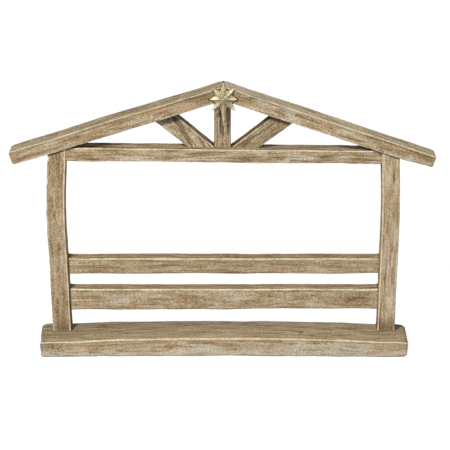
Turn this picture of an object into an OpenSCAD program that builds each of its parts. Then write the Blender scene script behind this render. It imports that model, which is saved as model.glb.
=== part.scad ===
// Open-fronted nativity stable in hewn timber. A plank base carries two bowed posts with
// two back rails and a tie beam between them. A king post, two struts and a mitred pair of
// rafters make the gable, and an eight-rayed star is pinned over the ridge joint.
// X runs left to right, Y front to back and Z up. The origin is the bottom centre.

/* [Overall] */
// Height of the ridge above the table
ridge_h = 280; // [264:1:302]
// How far the ridge stands to the right of the middle
ridge_shift = 1.1; // [0:0.1:2.5]
// Slope of the left rafter in degrees
left_pitch_angle = 17.5; // [16:0.05:19]
// Slope of the right rafter in degrees
right_pitch_angle = 18.65; // [16:0.05:19.5]
// How far the left eave reaches past the base
left_overhang = 28.3; // [20:0.1:36]
// How far the right eave reaches past the base
right_overhang = 25.2; // [18:0.1:34]
// Depth of the tool marks on the free faces
hewn = 0.5; // [0:0.05:0.8]

/* [Base] */
// Length of the base plank
base_l = 378.5; // [360:0.5:396]
// Depth of the base plank, front to back
base_depth = 57; // [50:0.5:62]
// Thickness of the plank at its crowned middle
base_h = 21.5; // [19:0.5:25]
// Thickness of the plank at its ends
base_end_h = 16.3; // [14:0.1:18]
// Radius of the plank's eased edges
base_edge = 1.6; // [0.8:0.1:2.4]
// How far the plank's ends are rounded over
base_end_round = 2.4; // [1:0.1:3.5]
// How far the plank's long sides are hollowed between its ends
base_hollow = 3; // [0:0.1:4]
// How far the plank's ends lean in towards the table
base_undercut = 1.4; // [0:0.1:2.5]
// How much farther the left end reaches at the back
left_end_skew = 2.2; // [0:0.1:3]
// How much farther the right end reaches at the back
right_end_skew = 0.9; // [0:0.1:3]

/* [Posts] */
// Distance from the end of the base to the centre of a post's foot
post_setback = 21.1; // [17:0.1:26]
// Width of the left post, seen from the front
left_post_w = 19.1; // [16:0.1:21]
// Width of the right post, seen from the front
right_post_w = 18.5; // [16:0.1:21]
// Depth of a post, front to back
post_depth = 24; // [21:0.1:26]
// Distance from the back of the posts to the back of the base
post_inset = 3.7; // [2.5:0.1:6]
// Outward bow of the left post
left_post_bow = 3.8; // [0:0.1:5]
// Outward bow of the right post
right_post_bow = 2.2; // [0:0.1:5]
// Radius of the eased edges of the posts, rails and tie beam
timber_edge = 1.2; // [0.6:0.1:1.8]

/* [Rails] */
// Depth of both rails, front to back
rail_depth = 18; // [14:0.1:20]
// Height of the upper rail's underside above the table
upper_rail_z = 78.6; // [74:0.1:84]
// Face height of the upper rail
upper_rail_h = 17; // [14:0.1:19]
// Height of the lower rail's underside above the table
lower_rail_z = 39.5; // [36:0.1:44]
// Face height of the lower rail
lower_rail_h = 22.7; // [18:0.1:25]
// How much the lower rail narrows underneath from its left end to its right
lower_rail_taper = 1.5; // [0:0.1:3]

/* [Roof frame] */
// Face height of the tie beam
tie_h = 14.3; // [12:0.1:16]
// How far the tie beam's left end is trimmed off under the rafter
left_tie_trim = 1.2; // [0:0.1:2.5]
// How far the tie beam's right end is trimmed off under the rafter
right_tie_trim = 1.8; // [0:0.1:2.5]
// Thickness of a rafter
rafter_t = 14.9; // [12:0.1:16]
// Depth of a rafter, front to back
rafter_depth = 28.5; // [25:0.1:30]
// How far the rafters stand in front of the posts
eave_front = 3; // [2:0.1:5]
// How far the eaves are rounded over
eave_round = 2; // [1:0.1:3]
// Radius of the eaves' rounded back corners
eave_back_r = 7; // [4:0.1:10]
// How much the left rafter thins underneath towards its eave
left_eave_taper = 0.5; // [0:0.1:2.5]
// How much the right rafter thins underneath towards its eave
right_eave_taper = 1.6; // [0:0.1:2.5]
// Width of the king post
king_w = 17.4; // [14:0.1:19]
// Depth of the king post, front to back
king_depth = 16.5; // [12:0.1:18]
// Face width of the struts
strut_w = 17.8; // [14:0.1:19]
// Depth of the struts, front to back
strut_depth = 18; // [14:0.1:20]
// How far up the king post the left strut's upper edge meets it
left_strut_lift = 1.3; // [0:0.1:3]
// How far up the king post the right strut's upper edge meets it
right_strut_lift = 0.3; // [0:0.1:3]
// Lean of the left strut above level, in degrees
left_strut_angle = 40; // [36:0.5:43]
// Lean of the right strut above level, in degrees
right_strut_angle = 38; // [36:0.5:43]

/* [Star] */
// Drop from the ridge to the centre of the star
star_drop = 13.2; // [10:0.1:14.5]
// Length of the ray that points up
ray_up = 16.5; // [14:0.1:18]
// Length of the two upper slanting rays
ray_upper = 15.1; // [13:0.1:17]
// Length of the two level rays
ray_side = 14; // [12:0.1:16]
// Length of the two lower slanting rays
ray_lower = 17.3; // [14:0.1:19]
// Length of the long ray that points down
ray_down = 29; // [20:0.1:31]
// Radius of the notches between the rays
star_notch_r = 9.2; // [6:0.1:10.5]
// Thickness of the star at its centre
star_t = 5.5; // [4.5:0.1:8]
// Thickness of the star at the tips of its rays
ray_tip_t = 2.6; // [1.5:0.1:3.2]
// Thickness of the star at the notches
star_notch_t = 1; // [0.7:0.1:1.4]

/* [Joinery] */
// Diameter of the dowels in the rails, tie beam and rafters
dowel_d = 6; // [4:0.1:7]
// Length of those dowels
dowel_l = 20; // [14:0.5:22]
// Diameter of the small dowels in the struts, king post, ridge and post feet
small_dowel_d = 3.5; // [2.5:0.1:4]
// Length of the small dowels
small_dowel_l = 16; // [10:0.5:18]
// Diameter of the screws that hold the posts
screw_d = 4; // [3:0.1:4.5]
// Length of the screws
screw_l = 36; // [28:0.5:40]
// Diameter of the screw heads
screw_head_d = 8; // [6.5:0.1:9]
// Distance that the screw heads are sunk into the base
screw_sink = 1; // [0.6:0.1:2]
// Diameter of the star's pin
star_pin_d = 1.6; // [1.2:0.1:2]
// Length of the star's pin
star_pin_l = 10; // [7:0.5:12]
// Gap between a dowel, screw or pin and its hole
hole_fit = 0.1; // [0.05:0.01:0.2]
// Glue line between two timbers
glue = 0.1; // [0.05:0.01:0.3]

/* [Hidden] */
$fn = 40;

wood = [0.64, 0.55, 0.42];
dark_wood = [0.55, 0.47, 0.36];
beech = [0.82, 0.70, 0.52];
old_gold = [0.76, 0.70, 0.54];
steel = [0.62, 0.62, 0.60];

LEFT = -1;
RIGHT = 1;
// Extra reach of a cutting shape past the wood
overrun = 4;
// Chamfer on the ends of the dowels
dowel_chamfer = 0.6;
// Length of a screw's tapered tip and width of its blunt point
screw_tip_l = 8;
screw_point_d = 1;
// Recess of a screw's cross slot
slot_w = 1;
slot_deep = 1.2;
slot_l = 4.4;
// Points on each rounded corner of a timber
corner_steps = 2;

// Depth places, front to back
post_back = base_depth / 2 - post_inset;
post_front = post_back - post_depth;
post_y = post_back - post_depth / 2;
rail_y = post_back - rail_depth / 2;
strut_y = post_back - strut_depth / 2;
king_y = post_back - king_depth / 2;
rafter_front = post_front - eave_front;
rafter_back = rafter_front + rafter_depth;
rafter_y = (rafter_front + rafter_back) / 2;

// Bow of a post, as pairs of a share of its height and a share of its bow
post_bow_shares = [[0, 0], [0.11, 0.2], [0.25, 0.38], [0.43, 0.66], [0.55, 0.92],
                   [0.67, 1], [0.8, 0.8], [0.92, 0.42], [1.1, 0]];
// Tool marks along a timber, as shares of their depth
hewn_shares = [0.2, -0.7, 0.5, 1, -0.2, 0.6, -0.9, 0.1, 0.8, -0.4, 0.3];
// Stations along a horizontal timber, as shares of its length
span_shares = [0, 0.06, 0.17, 0.3, 0.42, 0.5, 0.6, 0.73, 0.85, 0.94, 1];
// Stations up the king post, as shares of its reach
king_shares = [0, 0.3, 0.6, 1];
// Stations up a strut, as shares of its reach, past both of its ends
strut_shares = [-0.3, 0.2, 0.5, 0.8, 1.2];
// Stations along a rafter from the ridge, as shares of its length
rafter_shares = [0, 0.1, 0.24, 0.38, 0.52, 0.66, 0.78, 0.87];
// Loss of thickness along the top faces of the rafters, as shares of their thickness
left_loss_shares = [0, 0.03, 0.005, -0.015, -0.04, -0.015, 0.01, -0.005];
right_loss_shares = [0, 0.03, 0.02, 0.015, 0.03, 0.035, 0.045, 0.05];
// Turn of the points on the eave's rounded back corner, in degrees
eave_turns = [0, 19, 38, 56, 75];
// Rounding over of the eave at those points, as shares of the eave's ease
eave_ease_shares = [0, 0, 0, 0.2, 1];
// Inset of an eased end, as a share of how far it is rounded over
ease_share = 0.7;
// Stations along half of the base between its middle and the post, as shares
base_shares = [0, 0.25, 0.5, 0.76];
// Hollow of the base's sides, as pairs of a share of its half length and a share of its hollow
front_hollow_shares = [[-1, 0], [-0.5, 0.35], [0, 0.5], [0.4, 0.4], [0.75, 0.1], [1, 0]];
back_hollow_shares = [[-1, 0], [-0.75, 0.2], [-0.4, 0.8], [0, 1], [0.5, 0.9], [1, 0.8]];
// Offsets of a post's dowels and screw from its centre, as shares of its depth
dowel_offset_share = 0.25;
screw_offset_share = 0.2;
// Place of the tie beam's dowels below its top, as a share of its height
tie_dowel_share = 0.63;
// Place of the ridge dowel above the underside, as a share of the rafters' thickness
ridge_dowel_share = 0.45;
// Part of the king post's head dowel that is in the ridge, as a share of its length
head_dowel_share = 0.25;
// Part of the star's thickness that its pin reaches into
pin_share = 0.6;

// Places along X: the eaves stand at equal distances from the middle
stable_w = base_l + left_overhang + right_overhang;
base_x = (left_overhang - right_overhang) / 2;
post_run = base_l / 2 - post_setback;
function post_foot(side) = base_x + side * post_run;
function post_w(side) = side == LEFT ? left_post_w : right_post_w;
function pitch(side) = side == LEFT ? left_pitch_angle : right_pitch_angle;
function post_bow(side) = side == LEFT ? left_post_bow : right_post_bow;
function strut_angle(side) = side == LEFT ? left_strut_angle : right_strut_angle;
function tie_trim(side) = side == LEFT ? left_tie_trim : right_tie_trim;
function eave_taper(side) = side == LEFT ? left_eave_taper : right_eave_taper;
function loss_shares(side) = side == LEFT ? left_loss_shares : right_loss_shares;
function end_skew(side) = side == LEFT ? left_end_skew : right_end_skew;
function strut_lift(side) = side == LEFT ? left_strut_lift : right_strut_lift;

// Underside of the rafters
soffit_peak = ridge_h - rafter_t / cos(max(left_pitch_angle, right_pitch_angle));
function soffit_z(side, x) = soffit_peak - abs(x - ridge_shift) * tan(pitch(side));

// Top of the base plank at a distance from its middle, with a level seat under each post
function crown_z(run) = base_h - (base_h - base_end_h) * pow(2 * run / base_l, 2);
seat_z = crown_z(post_run);
seat_half = max(left_post_w, right_post_w) / 2 + timber_edge;

// Line of a post, which leans and bows outward
function post_h(side) = soffit_z(side, post_foot(side)) - seat_z;
function post_mid(side, z) =
    post_foot(side) + side * post_bow(side) * lookup((z - seat_z) / post_h(side), post_bow_shares);
function post_inner(side, z) = post_mid(side, z) - side * post_w(side) / 2;

// Top line of the tie beam, whose corners are trimmed to the rafters
function tie_end_x(side) =
    post_inner(side, soffit_z(side, post_foot(side) - side * post_w(side) / 2) - tie_h / 2);
function tie_end_z(side) = soffit_z(side, tie_end_x(side)) - glue + tie_trim(side);
function tie_top_z(x) = lookup(x, [[tie_end_x(LEFT), tie_end_z(LEFT)],
                                   [tie_end_x(RIGHT), tie_end_z(RIGHT)]]);

// Corner of a rounded rectangle between a0 and a1 one way and b0 and b1 the other
function corner(a, b, r, from) =
    [for (i = [0:corner_steps]) let (t = from + 90 * i / corner_steps)
        [a + r * cos(t), b + r * sin(t)]];
function section(a0, a1, b0, b1, r) =
    concat(corner(a1 - r, b1 - r, r, 0), corner(a0 + r, b1 - r, r, 90),
           corner(a0 + r, b0 + r, r, 180), corner(a1 - r, b0 + r, r, 270));

function total(values) = values * [for (v = values) 1];
function middle(ring) = [for (k = [0:2]) total([for (p = ring) p[k]]) / len(ring)];
function turned(rings, side) = side == RIGHT ? rings : [for (i = [len(rings) - 1:-1:0]) rings[i]];

// Solid skin over a row of rings with equal numbers of points
module loft(rings) {
    n = len(rings[0]);
    last = len(rings) - 1;
    polyhedron(
        points = concat([for (ring = rings) each ring], [middle(rings[0]), middle(rings[last])]),
        faces = concat(
            [for (i = [0:last - 1], j = [0:n - 1]) let (k = (j + 1) % n, at = i * n)
                each [[at + j, at + n + k, at + k], [at + j, at + n + j, at + n + k]]],
            [for (j = [0:n - 1]) [len(rings) * n, j, (j + 1) % n]],
            [for (j = [0:n - 1]) [len(rings) * n + 1, last * n + (j + 1) % n, last * n + j]]));
}

// Space above the underside of the rafters, less the glue line
module above_soffit() {
    far = stable_w / 2;
    translate([0, base_depth, 0]) rotate([90, 0, 0]) linear_extrude(2 * base_depth)
        polygon([[-far, soffit_z(LEFT, -far) - glue], [ridge_shift, soffit_peak - glue],
                 [far, soffit_z(RIGHT, far) - glue], [far, ridge_h + rafter_t],
                 [-far, ridge_h + rafter_t]]);
}

// Space below the top of the tie beam, plus the glue line
module below_tie_top() {
    near = tie_end_x(LEFT);
    far = tie_end_x(RIGHT);
    translate([0, base_depth, 0]) rotate([90, 0, 0]) linear_extrude(2 * base_depth)
        polygon([[near, tie_end_z(LEFT) + glue], [near, seat_z], [far, seat_z],
                 [far, tie_end_z(RIGHT) + glue]]);
}

// Dowel centred on its joint, and the hole for it
module dowel(d, l) {
    rotate_extrude() polygon([[0, -l / 2], [d / 2 - dowel_chamfer, -l / 2],
        [d / 2, dowel_chamfer - l / 2], [d / 2, l / 2 - dowel_chamfer],
        [d / 2 - dowel_chamfer, l / 2], [0, l / 2]]);
}
module dowel_hole(d, l) cylinder(d = d + 2 * hole_fit, h = l + 2 * hole_fit, center = true);

// Joints, each a place and a direction shared by the dowel and its holes
module at_rail_end(side, z) translate([post_inner(side, z), rail_y, z]) rotate([0, 90, 0]) children();
upper_rail_mid = upper_rail_z + upper_rail_h / 2;
lower_rail_mid = lower_rail_z + lower_rail_h / 2;

tie_dowel_y = post_y - post_depth * dowel_offset_share;
module at_tie_end(side)
    translate([tie_end_x(side), tie_dowel_y, tie_end_z(side) - tie_h * tie_dowel_share])
        rotate([0, 90, 0]) children();

rafter_dowel_y = post_y + post_depth * dowel_offset_share;
module at_rafter_seat(side)
    let (x = post_mid(side, soffit_z(side, post_foot(side))))
        translate([x, rafter_dowel_y, soffit_z(side, x)])
            rotate([0, side * pitch(side), 0]) children();

ridge_dowel_z = soffit_peak + rafter_t * ridge_dowel_share;
module at_ridge() translate([ridge_shift, rafter_y, ridge_dowel_z]) rotate([0, 90, 0]) children();

module at_king_foot() translate([0, king_y, tie_top_z(0)]) children();
module at_king_head()
    translate([ridge_shift, king_y, soffit_peak - small_dowel_l * head_dowel_share]) children();

foot_screw_y = post_y + post_depth * screw_offset_share;
foot_dowel_y = post_y - post_depth * dowel_offset_share;
module at_foot_dowel(side) translate([post_foot(side), foot_dowel_y, seat_z]) children();
module at_foot_screw(side) translate([post_foot(side), foot_screw_y, screw_sink]) children();

// Foot of a strut: its upper edge meets the side of the king post, a little above the tie beam
strut_foot_x = king_w / 2 + glue;
function strut_point(side, along, across) =
    let (t = strut_angle(side))
        [side * (strut_foot_x + along * cos(t) + across * sin(t)),
         tie_top_z(side * strut_foot_x) + strut_lift(side) + along * sin(t) - across * cos(t)];
// Distance along the strut's middle from its foot corner to the tie beam and to the rafter
function strut_foot_run(side) =
    let (t = strut_angle(side)) (strut_w / 2 * cos(t) - strut_lift(side)) / sin(t);
function strut_head_run(side) =
    let (t = strut_angle(side), start = strut_point(side, 0, strut_w / 2))
        (soffit_z(side, start[0]) - start[1]) / (sin(t) + cos(t) * tan(pitch(side)));
module at_strut(side, run)
    let (p = strut_point(side, run, strut_w / 2))
        translate([p[0], strut_y, p[1]]) rotate([0, side * (90 - strut_angle(side)), 0]) children();

// Screw with a countersunk head, and its hole, from the same outline
screw_neck_l = (screw_head_d - screw_d) / 2;
module screw_outline(extra)
    polygon([[0, -extra], [screw_head_d / 2 + extra, -extra], [screw_head_d / 2 + extra, 0],
        [screw_d / 2 + extra, screw_neck_l], [screw_d / 2 + extra, screw_l - screw_tip_l],
        [screw_point_d / 2 + extra, screw_l], [0, screw_l + extra]]);
module screw() {
    difference() {
        rotate_extrude() screw_outline(0);
        for (turn = [0, 90]) rotate([0, 0, turn])
            cube([slot_l, slot_w, 2 * slot_deep], center = true);
    }
}
module screw_hole() {
    rotate_extrude() screw_outline(hole_fit);
    translate([0, 0, -screw_sink - overrun])
        cylinder(d = screw_head_d + 2 * hole_fit, h = screw_sink + overrun);
}

// Base plank: crowned along its length, level under the posts, with hollowed sides and eased
// and leaning ends
module base_plank() {
    half = base_l / 2;
    inner = post_run - seat_half;
    outer = post_run + seat_half;
    neck = half - base_end_round;
    run = concat([for (s = base_shares) s * inner], [inner, outer, neck, half]);
    stops = concat([for (i = [len(run) - 1:-1:1]) -run[i]], run);
    color(wood) difference() {
        loft([for (stop = stops)
            let (at = abs(stop), side = sign(stop), ease = at == half ? base_end_round * ease_share : 0,
                 front = base_hollow * lookup(stop / half, front_hollow_shares),
                 back = base_hollow * lookup(stop / half, back_hollow_shares),
                 top = at >= inner && at <= outer ? seat_z : crown_z(at))
                [for (p = section(ease + front - base_depth / 2, base_depth / 2 - back - ease,
                                  ease, top - ease, base_edge))
                    let (lean = at < neck ? 0 : end_skew(side) * (p[0] / base_depth + 1 / 2)
                                                - base_undercut * (1 - p[1] / top))
                        [base_x + stop + side * lean, p[0], p[1]]]]);
        for (side = [LEFT, RIGHT]) {
            at_foot_screw(side) screw_hole();
            at_foot_dowel(side) dowel_hole(small_dowel_d, small_dowel_l);
        }
    }
}

// Post: bowed outward, cut on top to the slope of its rafter
module post(side) {
    half = post_w(side) / 2;
    top = soffit_z(side, post_foot(side) - side * 2 * half) + overrun;
    stops = concat([for (s = post_bow_shares) if (s[0] < 1) seat_z + glue + s[0] * post_h(side)], [top]);
    color(wood) difference() {
        loft([for (z = stops) let (x = post_mid(side, z))
            [for (p = section(x - half, x + half, post_front, post_back, timber_edge))
                [p[0], p[1], z]]]);
        above_soffit();
        at_rail_end(side, upper_rail_mid) dowel_hole(dowel_d, dowel_l);
        at_rail_end(side, lower_rail_mid) dowel_hole(dowel_d, dowel_l);
        at_tie_end(side) dowel_hole(dowel_d, dowel_l);
        at_rafter_seat(side) dowel_hole(dowel_d, dowel_l);
        at_foot_dowel(side) dowel_hole(small_dowel_d, small_dowel_l);
        at_foot_screw(side) screw_hole();
    }
}
module left_post() post(LEFT);
module right_post() post(RIGHT);

// Timber between the posts, its ends cut to their bowed inner faces
function between_posts(share, z) =
    (post_inner(LEFT, z) + glue) * (1 - share) + (post_inner(RIGHT, z) - glue) * share;

// Rail: flush with the backs of the posts, with tool marks along its edges
module rail(low, high, taper, marks_from) {
    count = len(hewn_shares);
    color(wood) difference() {
        loft([for (i = [0:len(span_shares) - 1])
            let (up = hewn * hewn_shares[(i + marks_from) % count],
                 down = hewn * hewn_shares[(i + marks_from + 4) % count]
                     + taper * (span_shares[i] - 1 / 2))
                [for (p = section(post_back - rail_depth, post_back, low + down, high + up / 2,
                                  timber_edge))
                    [between_posts(span_shares[i], p[1]), p[0], p[1]]]]);
        for (side = [LEFT, RIGHT])
            at_rail_end(side, (low + high) / 2) dowel_hole(dowel_d, dowel_l);
    }
}
module upper_rail() rail(upper_rail_z, upper_rail_z + upper_rail_h, 0, 0);
module lower_rail() rail(lower_rail_z, lower_rail_z + lower_rail_h, lower_rail_taper, 3);

// Tie beam: flush with the posts front and back, with a flat top for the gable's feet
module tie_beam() {
    color(wood) difference() {
        loft([for (i = [0:len(span_shares) - 1])
            let (x = tie_end_x(LEFT) * (1 - span_shares[i]) + tie_end_x(RIGHT) * span_shares[i],
                 top = tie_top_z(x), low = top - tie_h + hewn * hewn_shares[i])
                [for (p = section(post_front, post_back, low, top, timber_edge))
                    [between_posts(span_shares[i], p[1]), p[0], p[1]]]]);
        above_soffit();
        for (side = [LEFT, RIGHT]) {
            at_tie_end(side) dowel_hole(dowel_d, dowel_l);
            at_strut(side, strut_foot_run(side)) dowel_hole(small_dowel_d, small_dowel_l);
        }
        at_king_foot() dowel_hole(small_dowel_d, small_dowel_l);
    }
}

// King post: from the tie beam up into the angle of the rafters
module king_post() {
    low = tie_top_z(0) - overrun;
    stops = [for (s = king_shares) low * (1 - s) + ridge_h * s];
    color(dark_wood) difference() {
        loft([for (i = [0:len(stops) - 1]) let (give = hewn * hewn_shares[i] / 2)
            [for (p = section(-king_w / 2, king_w / 2, king_y - king_depth / 2 + abs(give),
                              king_y + king_depth / 2, timber_edge)) [p[0], p[1], stops[i]]]]);
        above_soffit();
        below_tie_top();
        at_king_foot() dowel_hole(small_dowel_d, small_dowel_l);
        at_king_head() dowel_hole(small_dowel_d, small_dowel_l);
    }
}

// Space that the king post takes, with the glue line on both sides
module beside_king() {
    low = seat_z;
    translate([-strut_foot_x, -base_depth, low]) cube([2 * strut_foot_x, 2 * base_depth, ridge_h - low]);
}

// Strut: from the foot of the king post out to the rafter
module strut(side) {
    reach = strut_head_run(side) + strut_w;
    stops = [for (s = strut_shares) s * reach];
    color(dark_wood) difference() {
        loft(turned([for (i = [0:len(stops) - 1]) let (give = hewn * hewn_shares[i])
            [for (p = section(0, strut_w + give, strut_y - strut_depth / 2,
                              strut_y + strut_depth / 2, timber_edge))
                let (q = strut_point(side, stops[i], p[0])) [q[0], p[1], q[1]]]], side));
        above_soffit();
        below_tie_top();
        beside_king();
        at_strut(side, strut_foot_run(side)) dowel_hole(small_dowel_d, small_dowel_l);
        at_strut(side, strut_head_run(side)) dowel_hole(small_dowel_d, small_dowel_l);
    }
}
module left_strut() strut(LEFT);
module right_strut() strut(RIGHT);

// Rafter: flat under the frame, mitred at the ridge, with the eave's back corner rounded
function rafter_point(side, along, up) =
    let (t = pitch(side))
        [ridge_shift + side * (along * cos(t) + up * sin(t)), soffit_peak - along * sin(t) + up * cos(t)];
function eave_loss(side) = rafter_t * loss_shares(side)[len(rafter_shares) - 1];
function rafter_l(side) =
    let (t = pitch(side), run = stable_w / 2 - side * ridge_shift)
        (run - (rafter_t - eave_loss(side) - eave_round * ease_share) * sin(t)) / cos(t);
module rafter(side) {
    t = pitch(side);
    length = rafter_l(side);
    corner_l = eave_back_r * sin(eave_turns[len(eave_turns) - 1]);
    // Each stop has its distance from the ridge, what is taken off above, below and behind, and
    // its ease at the front
    body = [for (i = [0:len(rafter_shares) - 1])
        [rafter_shares[i] * length, rafter_t * loss_shares(side)[i], 0, 0, 0]];
    eave = [for (i = [0:len(eave_turns) - 1])
        let (ease = eave_round * ease_share * eave_ease_shares[i])
            [length - corner_l + eave_back_r * sin(eave_turns[i]), eave_loss(side) + ease,
             eave_taper(side) + ease, eave_back_r * (1 - cos(eave_turns[i])), ease]];
    stops = concat(body, eave);
    color(wood) difference() {
        loft(turned([for (i = [0:len(stops) - 1]) let (stop = stops[i])
            [for (p = section(rafter_front + stop[4], rafter_back - stop[3], stop[2],
                              rafter_t - stop[1], timber_edge))
                let (mitre = i == 0 ? glue - p[1] * tan(t) : 0,
                     q = rafter_point(side, stop[0] + mitre, p[1])) [q[0], p[0], q[1]]]], side));
        at_rafter_seat(side) dowel_hole(dowel_d, dowel_l);
        at_strut(side, strut_head_run(side)) dowel_hole(small_dowel_d, small_dowel_l);
        at_ridge() dowel_hole(small_dowel_d, small_dowel_l);
        at_king_head() dowel_hole(small_dowel_d, small_dowel_l);
        at_star() star_pin_hole();
    }
}
module left_rafter() rafter(LEFT);
module right_rafter() rafter(RIGHT);

// Star: eight ridged rays round a raised centre, flat at the back
ray_lengths = [ray_up, ray_upper, ray_side, ray_lower, ray_down, ray_lower, ray_side, ray_upper];
star_rim = 2 * len(ray_lengths);
function star_rim_point(i, front) =
    let (tip = i % 2 == 0, r = tip ? ray_lengths[i / 2] : star_notch_r,
         turn = 360 * i / star_rim)
        [r * sin(turn), front ? -(tip ? ray_tip_t : star_notch_t) : 0, r * cos(turn)];
module at_star() translate([ridge_shift, rafter_front - glue, ridge_h - star_drop]) children();
module star() {
    color(old_gold) at_star() difference() {
        polyhedron(
            points = concat([for (i = [0:star_rim - 1]) star_rim_point(i, true)],
                            [for (i = [0:star_rim - 1]) star_rim_point(i, false)],
                            [[0, -star_t, 0], [0, 0, 0]]),
            faces = [for (i = [0:star_rim - 1]) let (k = (i + 1) % star_rim)
                each [[2 * star_rim, i, k], [i, star_rim + i, star_rim + k],
                      [i, star_rim + k, k], [2 * star_rim + 1, star_rim + k, star_rim + i]]]);
        star_pin_hole();
    }
}

// Screws and dowels, out of sight in their holes
module post_screws() color(steel) for (side = [LEFT, RIGHT]) at_foot_screw(side) screw();
module post_dowels() color(beech)
    for (side = [LEFT, RIGHT]) at_foot_dowel(side) dowel(small_dowel_d, small_dowel_l);
module upper_rail_dowels() color(beech)
    for (side = [LEFT, RIGHT]) at_rail_end(side, upper_rail_mid) dowel(dowel_d, dowel_l);
module lower_rail_dowels() color(beech)
    for (side = [LEFT, RIGHT]) at_rail_end(side, lower_rail_mid) dowel(dowel_d, dowel_l);
module tie_beam_dowels() color(beech)
    for (side = [LEFT, RIGHT]) at_tie_end(side) dowel(dowel_d, dowel_l);
module rafter_dowels() color(beech)
    for (side = [LEFT, RIGHT]) at_rafter_seat(side) dowel(dowel_d, dowel_l);
module ridge_dowel() color(beech) at_ridge() dowel(small_dowel_d, small_dowel_l);
module king_post_dowels() color(beech) {
    at_king_foot() dowel(small_dowel_d, small_dowel_l);
    at_king_head() dowel(small_dowel_d, small_dowel_l);
}
module strut_dowels() color(beech)
    for (side = [LEFT, RIGHT], run = [strut_foot_run(side), strut_head_run(side)])
        at_strut(side, run) dowel(small_dowel_d, small_dowel_l);

// Pin of the star, part in the star and part in the ridge
pin_in_star = star_t * pin_share;
module star_pin_hole()
    translate([0, -pin_in_star - hole_fit, 0]) rotate([-90, 0, 0])
        cylinder(d = star_pin_d + 2 * hole_fit, h = star_pin_l + 2 * hole_fit);
module star_pin() color(steel) at_star()
    translate([0, -pin_in_star, 0]) rotate([-90, 0, 0]) cylinder(d = star_pin_d, h = star_pin_l);

base_plank();
left_post();
right_post();
upper_rail();
lower_rail();
tie_beam();
king_post();
left_strut();
right_strut();
left_rafter();
right_rafter();
star();
post_screws();
post_dowels();
upper_rail_dowels();
lower_rail_dowels();
tie_beam_dowels();
rafter_dowels();
ridge_dowel();
king_post_dowels();
strut_dowels();
star_pin();
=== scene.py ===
"""Wooden nativity stable: skins of hewn, limewashed timber and an old-gold star."""
import math

import bpy
import numpy as np
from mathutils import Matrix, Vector
from mathutils.bvhtree import BVHTree
from mathutils.kdtree import KDTree


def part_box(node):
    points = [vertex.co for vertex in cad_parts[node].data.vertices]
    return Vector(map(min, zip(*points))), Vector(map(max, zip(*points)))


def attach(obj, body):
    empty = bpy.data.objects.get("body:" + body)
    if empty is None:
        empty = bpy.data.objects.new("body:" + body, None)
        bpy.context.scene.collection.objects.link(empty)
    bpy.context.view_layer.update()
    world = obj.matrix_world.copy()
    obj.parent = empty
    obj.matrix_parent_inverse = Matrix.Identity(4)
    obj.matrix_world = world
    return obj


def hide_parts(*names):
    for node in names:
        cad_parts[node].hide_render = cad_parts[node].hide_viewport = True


MM = 0.001
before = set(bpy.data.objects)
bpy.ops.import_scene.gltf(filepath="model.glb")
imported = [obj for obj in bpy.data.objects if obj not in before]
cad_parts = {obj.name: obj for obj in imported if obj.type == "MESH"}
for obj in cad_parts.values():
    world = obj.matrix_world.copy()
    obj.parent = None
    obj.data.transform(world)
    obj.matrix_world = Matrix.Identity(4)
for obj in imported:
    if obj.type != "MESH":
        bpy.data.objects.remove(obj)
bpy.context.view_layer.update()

# Lengths in the values below are in millimetres where no other unit is given

# Camera, fitted to the photograph: a long lens that looks down on the stable from this far in
# metres, the photograph's width and scale, the sensor's width, and the place that it looks at
CAMERA_TILT = math.radians(17.6)
CAMERA_DISTANCE = 2.0
PHOTO_PX = 450
MM_PER_PX = 1.02
SENSOR_MM = 36
AIM = Vector((2.5, -1.25, 134.35)) * MM

# Spacing of the skin's points across and along the grain, the closest at the ends, how fast it
# grows from there, and the steps in which an arris is rounded
ACROSS_STEP = 0.65
ALONG_STEP = 1.5
END_STEP = 0.5
END_STEP_GROWTH = 0.12
CORNER_STEPS = 5
# Numbers of the front arrises, in the order in which section_ring goes round
FRONT_HIGH = 0
FRONT_LOW = 3
# How far outside a solid its faces are probed from, how far apart along the grain, how far from
# its ends the first and the last probe are, and how far inside its edges those of its sides and
# those of its ends lie
FAR = 600
PROBE_STEP = 0.8
PROBE_ENDS = (0.2, 0.1)
PROBE_INSET = 1.8
END_INSET = 0.7
# How square to a probe a face must be: on a timber between others, on one with an open end,
# which is followed round its eased corners, and on a rafter's lower side, for which its mitre is
# never taken
SQUARE_BETWEEN = 0.85
SQUARE_OPEN = 0.3
SQUARE_RAFTER = 0.5
# Rounding of an open end's arris and of a joined one's, as pairs of an inset and a set-back
END_EASE = ((0, 0.55), (0.16, 0.16), (0.55, 0))
JOINT_EASE = ((0, 0.22), (0.06, 0.06), (0.22, 0))
# Sizes of the rings that close an end, as shares of its section
CAP_SHARES = (0.86, 0.66, 0.46, 0.28, 0.12)
# Wear of the ridge's sharp top: how far it is rubbed down, and its reach from the mitre
RIDGE_WEAR = 1.0
RIDGE_WEAR_REACH = 6.0
# Tool marks only cut inwards: how far hewing and ridges are lowered, as shares of their depths
HEW_DROP = 0.75
RIDGE_DROP = 1.1
# Depth of the chips along the arrises, and their reach from them
CHIP_DEPTH = 0.35
CHIP_REACH = 0.9
KNOT_DEPTH = 0.5
# Depth of the marks in end grain, as a share of the depth on the sides
END_GRAIN_MARKS = 0.7
# Added to the distance from an arris in end grain, which gets no cream line
NO_ARRIS = 6
# Shift of the grain between one timber's seed and the next
GRAIN_SHIFT = 53.7
# Wash on a timber's underside, where 1 is what its lower edge has in front
UNDERSIDE_WASH = 0.2
# Painted shade along the lower front arris of the level timbers: its strength, and where it fades
# out
LOW_EDGE_SHADE = 0.4
LOW_EDGE_FADE = (0.4, 1.9)
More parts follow.
